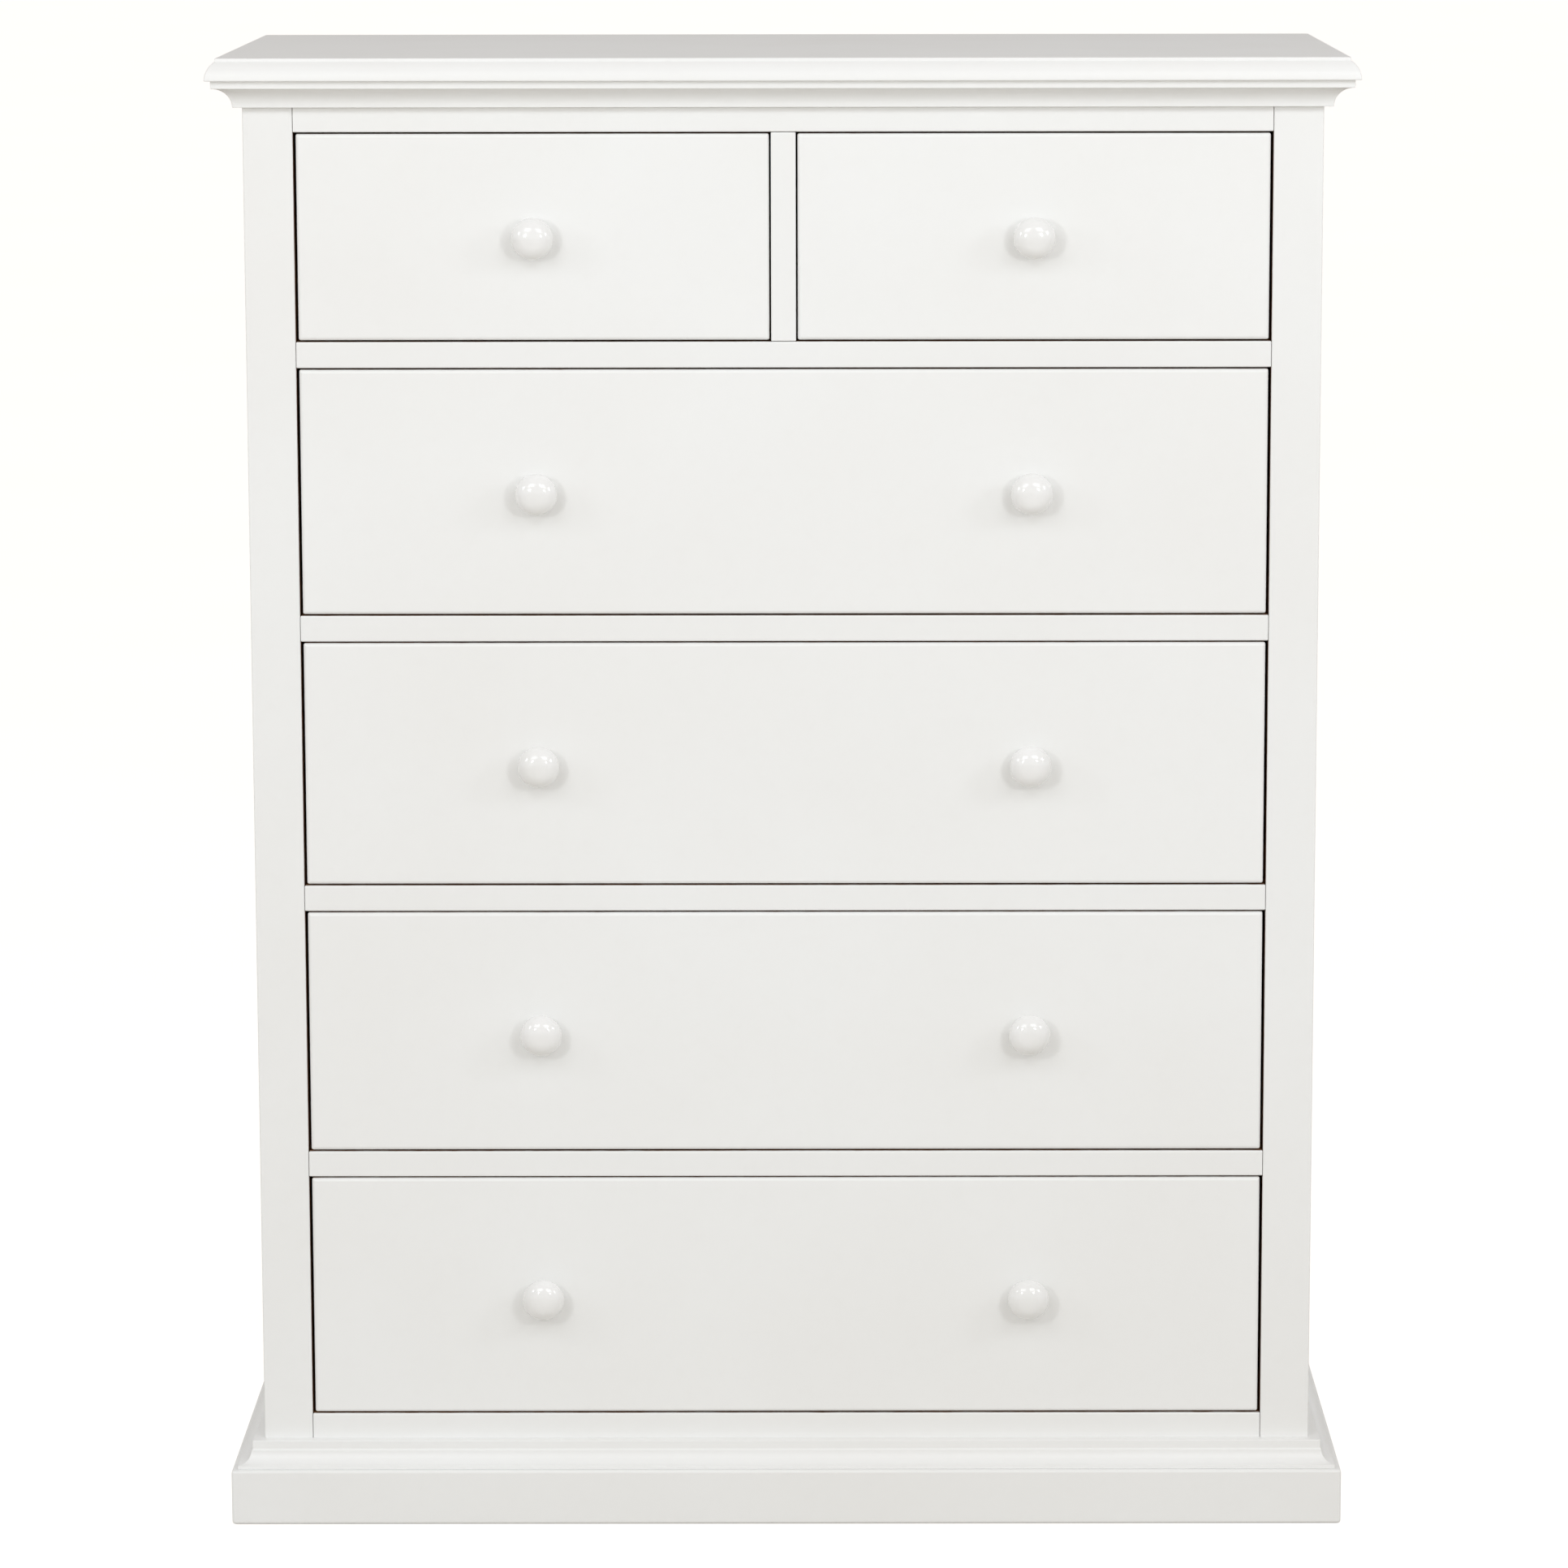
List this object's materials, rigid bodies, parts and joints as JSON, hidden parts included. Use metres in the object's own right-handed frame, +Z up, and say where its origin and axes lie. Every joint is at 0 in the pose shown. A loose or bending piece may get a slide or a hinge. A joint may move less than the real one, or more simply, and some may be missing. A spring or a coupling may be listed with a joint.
{
  "type": "tall chest of drawers",
  "caption": "Tall white painted chest of drawers with inset drawers on wooden runners, turned knobs, a moulded top, a cove cornice and a moulded plinth.",
  "frame": {"origin": "on the floor, under the middle of the chest's bounding box", "axes": "+Z up, -Y out of the front (the way the drawers pull out), +X to the right seen from the front"},
  "size_m": [0.968, 0.46, 1.268],
  "materials": {
    "carcass_paint": "satin white paint",
    "front_paint": "satin white paint",
    "knob_paint": "gloss white paint",
    "pine": "bare planed softwood",
    "plywood": "bare sanded plywood",
    "screw_steel": "zinc plated"
  },
  "bodies": {
    "carcass": {"top_board": "carcass_paint", "cornice_front": "carcass_paint", "cornice_returns": "carcass_paint", "front_stile_left": "carcass_paint", "front_stile_right": "carcass_paint", "top_rail": "carcass_paint", "drawer_rails": "carcass_paint", "bottom_rail": "carcass_paint", "centre_divider": "carcass_paint", "side_panel_left": "carcass_paint", "side_panel_right": "carcass_paint", "back_panel": "plywood", "drawer_runners": "pine", "drawer_guides": "pine", "top_kickers": "pine", "closing_stops": "pine", "pull_out_stops": "pine", "bottom_panel": "pine", "plinth_front": "carcass_paint", "plinth_sides": "carcass_paint", "base_moulding_front": "carcass_paint", "base_moulding_returns": "carcass_paint", "glue_blocks": "pine", "carcass_screws": "screw_steel"},
    "drawer_1": {"drawer_1_front": "front_paint", "drawer_1_sides": "pine", "drawer_1_back": "pine", "drawer_1_bottom": "plywood", "drawer_1_knob": "knob_paint", "drawer_1_knob_screw": "screw_steel"},
    "drawer_2": {"drawer_2_front": "front_paint", "drawer_2_sides": "pine", "drawer_2_back": "pine", "drawer_2_bottom": "plywood", "drawer_2_knob": "knob_paint", "drawer_2_knob_screw": "screw_steel"},
    "drawer_3": {"drawer_3_front": "front_paint", "drawer_3_sides": "pine", "drawer_3_back": "pine", "drawer_3_bottom": "plywood", "drawer_3_knobs": "knob_paint", "drawer_3_knob_screws": "screw_steel"},
    "drawer_4": {"drawer_4_front": "front_paint", "drawer_4_sides": "pine", "drawer_4_back": "pine", "drawer_4_bottom": "plywood", "drawer_4_knobs": "knob_paint", "drawer_4_knob_screws": "screw_steel"},
    "drawer_5": {"drawer_5_front": "front_paint", "drawer_5_sides": "pine", "drawer_5_back": "pine", "drawer_5_bottom": "plywood", "drawer_5_knobs": "knob_paint", "drawer_5_knob_screws": "screw_steel"},
    "drawer_6": {"drawer_6_front": "front_paint", "drawer_6_sides": "pine", "drawer_6_back": "pine", "drawer_6_bottom": "plywood", "drawer_6_knobs": "knob_paint", "drawer_6_knob_screws": "screw_steel"}
  },
  "joints": [
    {"name": "drawer_1_slide", "type": "slide", "parent": "carcass", "child": "drawer_1", "axis": [0, -1, 0], "range_m": [0, 0.32]},
    {"name": "drawer_2_slide", "type": "slide", "parent": "carcass", "child": "drawer_2", "axis": [0, -1, 0], "range_m": [0, 0.32]},
    {"name": "drawer_3_slide", "type": "slide", "parent": "carcass", "child": "drawer_3", "axis": [0, -1, 0], "range_m": [0, 0.32]},
    {"name": "drawer_4_slide", "type": "slide", "parent": "carcass", "child": "drawer_4", "axis": [0, -1, 0], "range_m": [0, 0.32]},
    {"name": "drawer_5_slide", "type": "slide", "parent": "carcass", "child": "drawer_5", "axis": [0, -1, 0], "range_m": [0, 0.32]},
    {"name": "drawer_6_slide", "type": "slide", "parent": "carcass", "child": "drawer_6", "axis": [0, -1, 0], "range_m": [0, 0.32]}
  ]
}
